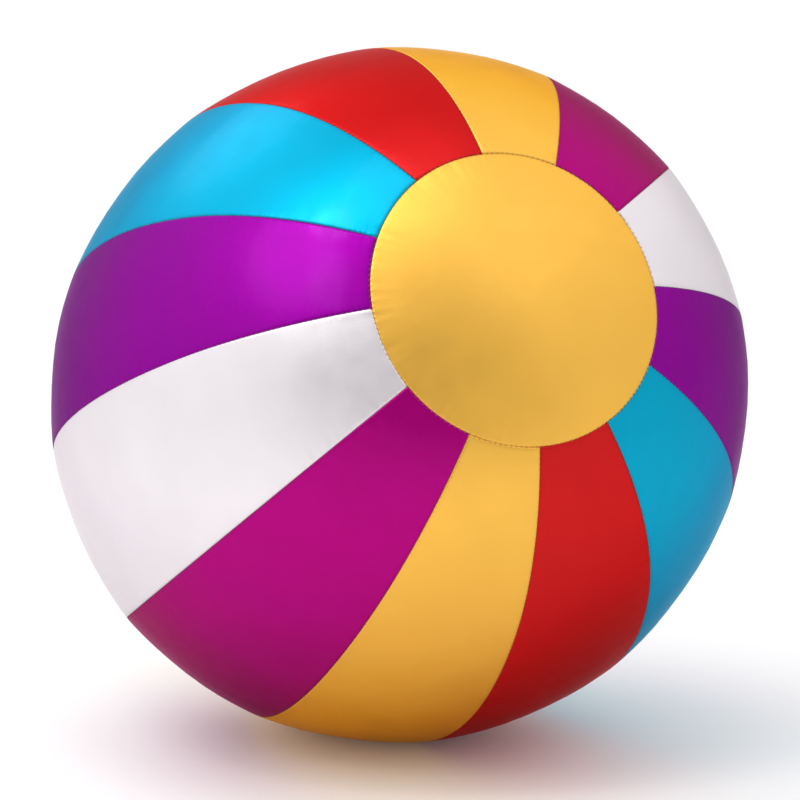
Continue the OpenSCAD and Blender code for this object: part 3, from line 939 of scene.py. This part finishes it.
class BALL_OT_zip(bpy.types.Operator):
    """Builds the zip: tapes, teeth, stops, guard, slider and puller"""
    bl_idname = "ball.zip"
    bl_label = "Zip"

    def execute(self, context):
        sizes = context.scene.ball_sizes
        over = 8 * MM / BELLY_R
        ends = ZIP_REAR - over, ZIP_FRONT + over
        for name, low, high in (("left", -TAPE_OUT, -TAPE_IN), ("right", TAPE_IN, TAPE_OUT)):
            tape = self.strip("zip_tape_" + name + "_weave", *ends, TAPE_TOP, 0.5 * MM, low, high,
                              finish_for("tape"))
            stand_in(tape, "zip_tape_" + name, "cover")
        guard = self.strip("zip_guard_flap", *ends, BELLY_R - 4.4 * MM, 0.5 * MM, -GUARD_OUT, GUARD_OUT,
                           finish_for("silver"))
        stand_in(guard, "zip_guard", "cover")

        stop = 3 * MM / BELLY_R
        phase = 0.5 * sizes.tooth_pitch / BELLY_R
        for name, side, shift in (("left", -1, 0), ("right", 1, phase)):
            a = np.linspace(ZIP_REAR + stop + 0.6 * MM / BELLY_R + shift,
                            ZIP_FRONT - stop - 1.4 * MM / BELLY_R + shift, 300)
            line = self.spots(a, TAPE_TOP + 0.95 * MM + 0 * a, side * TEETH_OUT + 0 * a)
            teeth = repeat_along("zip_teeth_" + name + "_row", [(line, False)], "tooth",
                                 finish_for("teeth"), Pitch=sizes.tooth_pitch, Along=1.0 * MM,
                                 Across=2.25 * MM, High=1.75 * MM, Lift=0.0, Unevenness=0.0,
                                 Middle=tuple(self.frame() @ Vector((0, 0, side * TEETH_OUT))))
            stand_in(teeth, "zip_teeth_" + name, "cover")
        for node, width, body in (("zip_top_stops", 0.3, "cover"), ("zip_bottom_stop", 0.35, "cover"),
                                  ("zip_slider", 0.3, "zip_slider"), ("zip_puller", 0.3, "zip_puller")):
            metal = rounded_copy(node, node + "_cast", finish_for("metal"), width * MM)
            stand_in(metal, node, body)
        return {"FINISHED"}

    def frame(self):
        """The zip's frame: X out of the ball, angle about Z along the seam, Z across it."""
        return (BALL @ Matrix.Rotation(seam_lon(ZIP_SEAM), 4, "Z")
                @ Matrix.Translation((BELLY_X, 0, 0)) @ Matrix.Rotation(math.pi / 2, 4, "X"))

    def spots(self, angle, radius, across):
        """Points of the zip at an angle, a radius and a place across it."""
        flat = np.stack([radius * np.cos(angle), radius * np.sin(angle), across], -1)
        return placed(flat, self.frame())

    def strip(self, name, a0, a1, top, t, low, high, material):
        """A curved strip with its thickness, soft at its long edges."""
        a = np.linspace(a0, a1, 200)
        w = np.concatenate([[low], np.linspace(low + 0.3 * MM, high - 0.3 * MM, 9), [high]])
        a, w = np.meshgrid(a, w, indexing="ij")
        edge = np.minimum(w - low, high - w)
        points = self.spots(a, top - 0.15 * MM * np.exp(-edge / (0.1 * MM)), w)
        uv = np.stack([w, a * BELLY_R], -1)
        obj = grid_object(name, points, uv, 0 * w, material)
        face_out(obj, Vector((0, 0, CENTRE_Z)))
        thicken(obj, t - 0.16 * MM)
        return obj


class BALL_OT_bladder(bpy.types.Operator):
    """Builds the airtight bladder inside the cover"""
    bl_idname = "ball.bladder"
    bl_label = "Bladder"

    def execute(self, context):
        neck = 9.5 * MM
        end = SEAM_LEN + DISC_LEN
        stop = end - DOME_R * math.asin(neck / DOME_R)
        s = np.concatenate([np.linspace(-stop, -0.004, 90), np.linspace(-0.003, 0.003, 9),
                            np.linspace(0.004, end - 1e-6, 90)])
        ridge = 0.5 * MM * np.exp(-(s / 0.0016) ** 2)
        rho, high, out, up = meridian(s)
        outer, inner = (
            list(zip(np.maximum(rho + lift * out, 0).tolist(), (high + lift * up).tolist()))
            for lift in (ridge - BLADDER_INSET - 0.3 * MM, ridge - BLADDER_INSET - 0.6 * MM))
        obj = lathe("bladder_film", outer + inner[::-1], BALL, finish_for("film"), segments=160,
                    hard=60)
        stand_in(obj, "bladder", "cover")
        return {"FINISHED"}


class BALL_OT_valve(bpy.types.Operator):
    """Builds the valve: flange and web, stem, flap, stopper and its strap"""
    bl_idname = "ball.valve"
    bl_label = "Valve"

    def execute(self, context):
        vinyl = finish_for("vinyl")
        skin = POLE_R - BLADDER_INSET + 0.03 * MM

        def dome(radius, lift):
            return DOME_Z + math.sqrt((DOME_R - BLADDER_INSET + 0.03 * MM + lift) ** 2 - radius ** 2)

        top = [(r * MM, dome(r * MM, 0.6 * MM)) for r in (20, 17.5, 15, 12.5, 10)]
        under = [(r * MM, dome(r * MM, 0.0)) for r in (9.6, 12.5, 15, 17.5, 20)]
        floor = POLE_R - 16 * MM
        web = top + [(9.2 * MM, skin + 0.1 * MM), (8.8 * MM, skin - 0.8 * MM),
                     (8.75 * MM, floor + 2.4 * MM), (8.3 * MM, floor + 1.2 * MM),
                     (7.4 * MM, floor + 0.6 * MM), (5.62 * MM, floor + 0.6 * MM), (5.62 * MM, floor),
                     (7.7 * MM, floor), (8.9 * MM, floor + 0.7 * MM), (9.35 * MM, floor + 2.0 * MM),
                     (9.35 * MM, skin - 1.2 * MM)] + under
        flange = lathe("valve_flange_web", web, VALVE, vinyl, hard=50)
        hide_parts("valve_flange")
        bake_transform(flange)

        stem = [(4.0, STEM_FOOT / MM), (5.5, STEM_FOOT / MM), (5.5, STEM_TOP / MM - 1.6),
                (7.4, STEM_TOP / MM - 1.6), (7.4, STEM_TOP / MM), (4.0, STEM_TOP / MM)]
        self.turned("valve_stem_tube", stem, 0.35, vinyl, "valve_stem", "valve_stem")
        foot = STEM_FOOT / MM - 0.1
        flap = [(0, foot - 0.6), (5.5, foot - 0.6), (5.5, foot), (0, foot)]
        self.turned("check_flap_disc", flap, 0.2, vinyl, "check_flap", "check_flap")
        tip = STEM_TOP / MM
        cap = [(0, tip - 10), (2.6, tip - 10), (3.2, tip - 9.4), (3.93, tip - 8), (3.93, tip + 0.03),
               (7.8, tip + 0.03), (7.8, tip + 2.03), (6.6, tip + 2.03), (6.2, tip + 1.8),
               (0, tip + 1.8)]
        self.turned("valve_stopper_plug", cap, 0.3, vinyl, "valve_stopper", "valve_stopper")
        self.strap(vinyl)
        return {"FINISHED"}

    def turned(self, name, corners, radius, material, node, body):
        """A lathed part, given in millimetres."""
        obj = lathe(name, rounded(corners, radius), VALVE @ Matrix.Scale(MM, 4), material)
        stand_in(obj, node, body)

    def strap(self, material):
        """The moulded loop from the stem's rim to the stopper's cap."""
        low, high = STEM_TOP - 0.9 * MM, STEM_TOP + 1.15 * MM
        line = ((-7.2, low), (-9.3, low), (-10.1, low + 0.4 * MM), (-10.35, (low + high) / 2),
                (-10.1, high - 0.4 * MM), (-9.3, high), (-7.6, high))
        curve = bpy.data.curves.new("strap_line", "CURVE")
        curve.dimensions = "3D"
        spline = curve.splines.new("NURBS")
        spline.points.add(len(line) - 1)
        for point, (out, up) in zip(spline.points, line):
            point.co = (out * MM, 0, up, 1)
        spline.use_endpoint_u, spline.order_u, spline.resolution_u = True, 3, 6
        curve.bevel_depth, curve.bevel_resolution, curve.use_fill_caps = 0.5 * MM, 3, True
        drawn = bpy.data.objects.new("strap_line", curve)
        bpy.context.scene.collection.objects.link(drawn)
        graph = bpy.context.evaluated_depsgraph_get()
        mesh = bpy.data.meshes.new_from_object(drawn.evaluated_get(graph))
        bpy.data.objects.remove(drawn)
        mesh.transform(VALVE @ Matrix.Diagonal((1, 2.6, 1, 1)))
        with editing(mesh) as shape:
            bmesh.ops.remove_doubles(shape, verts=shape.verts, dist=1e-6)
            bmesh.ops.recalc_face_normals(shape, faces=shape.faces)
        smooth(mesh)
        obj = new_object("stopper_strap_loop", mesh, material)
        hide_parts("stopper_strap")
        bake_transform(obj)


class BALL_OT_stage(bpy.types.Operator):
    """Sets the floor, the lights and the camera"""
    bl_idname = "ball.stage"
    bl_label = "Stage"

    def execute(self, context):
        stage = context.scene.ball_stage
        self.floor(stage)
        middle = Vector((0, 0, CENTRE_Z))
        for name, power, width, turn, rise in SOFT_BOXES:
            light = bpy.data.lights.new(name, "AREA")
            light.energy, light.size, light.shape = power * stage.boxes, width, "DISK"
            lamp = bpy.data.objects.new(name, light)
            context.scene.collection.objects.link(lamp)
            toward = self.direction(stage, turn, rise)
            lamp.location = middle + toward * BOX_DISTANCE
            lamp.rotation_euler = toward.to_track_quat("Z", "Y").to_euler()
        self.surroundings(context.scene, stage)
        self.camera(context.scene, stage, middle)
        context.scene.view_settings.view_transform = "Standard"
        return {"FINISHED"}

    def floor(self, stage):
        """A pale round floor, lit a little from below like a light table."""
        mesh = bpy.data.meshes.new("floor")
        with editing(mesh) as shape:
            bmesh.ops.create_circle(shape, cap_ends=True, segments=128, radius=FLOOR_R)
        material, tree = new_material("white acrylic")
        place = add_node(tree, "ShaderNodeTexCoord").outputs["Object"]
        cloud = texture(tree, "Noise", place, 3.0, 2.0)
        surface(tree, {"Base Color": (0.86, 0.86, 0.86, 1), "Specular IOR Level": 0.2,
                       "Roughness": spread(tree, cloud, 0.3, 0.7, 0.5, 0.56),
                       "Emission Color": (1, 1, 1, 1), "Emission Strength": stage.glow})
        new_object("floor", mesh, material)

    def direction(self, stage, turn, rise):
        """A direction from the ball, turned from the camera's side and raised above the horizon."""
        a, e = stage.azimuth + math.radians(turn), math.radians(rise)
        return Vector((math.sin(a) * math.cos(e), -math.cos(a) * math.cos(e), math.sin(e)))

    def surroundings(self, scene, stage):
        """Soft white light from all round, dimmer on the camera's side."""
        world = bpy.data.worlds.new("studio")
        world.use_nodes = True
        tree = world.node_tree
        tree.nodes.clear()
        look = add_node(tree, "ShaderNodeTexCoord").outputs["Generated"]
        total = EVEN_LIGHT * stage.sky
        for strength, turn, rise in SURROUNDINGS:
            toward = self.direction(stage, turn, rise)
            facing = add_node(tree, "ShaderNodeVectorMath", {0: look, 1: toward}, operation="DOT_PRODUCT")
            patch = add_node(tree, "ShaderNodeMapRange",
                             {0: facing.outputs["Value"], 1: 0.2, 2: 1.0, 3: 0.0,
                              4: strength * stage.sky}, interpolation_type="SMOOTHSTEP")
            total = add_node(tree, "ShaderNodeMath", {0: patch.outputs[0], 1: total}).outputs[0]
        back = add_node(tree, "ShaderNodeBackground", {"Color": (1, 1, 1, 1), "Strength": total})
        add_node(tree, "ShaderNodeOutputWorld", {"Surface": back.outputs[0]})
        scene.world = world

    def camera(self, scene, stage, middle):
        """The camera, low in front of the ball and a little to its left."""
        back = self.direction(stage, 0, math.degrees(stage.elevation))
        data = bpy.data.cameras.new("camera")
        data.lens, data.sensor_width = stage.lens, 36
        data.clip_start, data.clip_end = 0.05, 200
        camera = bpy.data.objects.new("camera", data)
        scene.collection.objects.link(camera)
        turn = back.to_track_quat("Z", "Y")
        camera.rotation_euler = turn.to_euler()
        camera.location = middle + back * stage.distance + turn @ Vector(NUDGE)
        scene.camera = camera


OPERATORS = (BALL_OT_gores, BALL_OT_discs, BALL_OT_stitching, BALL_OT_zip, BALL_OT_bladder,
             BALL_OT_valve, BALL_OT_stage)


class BALL_PT_panel(bpy.types.Panel):
    """Lists the ball's settings and the pieces that can be built"""
    bl_idname = "BALL_PT_panel"
    bl_label = "Beach ball"
    bl_space_type = "VIEW_3D"
    bl_region_type = "UI"
    bl_category = "Beach ball"

    def draw(self, context):
        column = self.layout.column()
        for operator in OPERATORS:
            column.operator(operator.bl_idname)
        for group in (context.scene.ball_sizes, context.scene.ball_colours, context.scene.ball_stage):
            box = self.layout.box().column()
            for name in group.__annotations__:
                box.prop(group, name)


CLASSES = (BallSizes, BallColours, BallStage, *OPERATORS, BALL_PT_panel)


def register():
    """Adds the classes and the settings."""
    for item in CLASSES:
        bpy.utils.register_class(item)
    bpy.types.Scene.ball_sizes = bpy.props.PointerProperty(type=BallSizes)
    bpy.types.Scene.ball_colours = bpy.props.PointerProperty(type=BallColours)
    bpy.types.Scene.ball_stage = bpy.props.PointerProperty(type=BallStage)


def unregister():
    """Takes them away again."""
    del bpy.types.Scene.ball_sizes, bpy.types.Scene.ball_colours, bpy.types.Scene.ball_stage
    for item in reversed(CLASSES):
        bpy.utils.unregister_class(item)


def main():
    """Builds every piece and the stage."""
    register()
    for operator in OPERATORS:
        getattr(bpy.ops.ball, operator.bl_idname.removeprefix("ball."))()


if __name__ == "__main__":
    main()
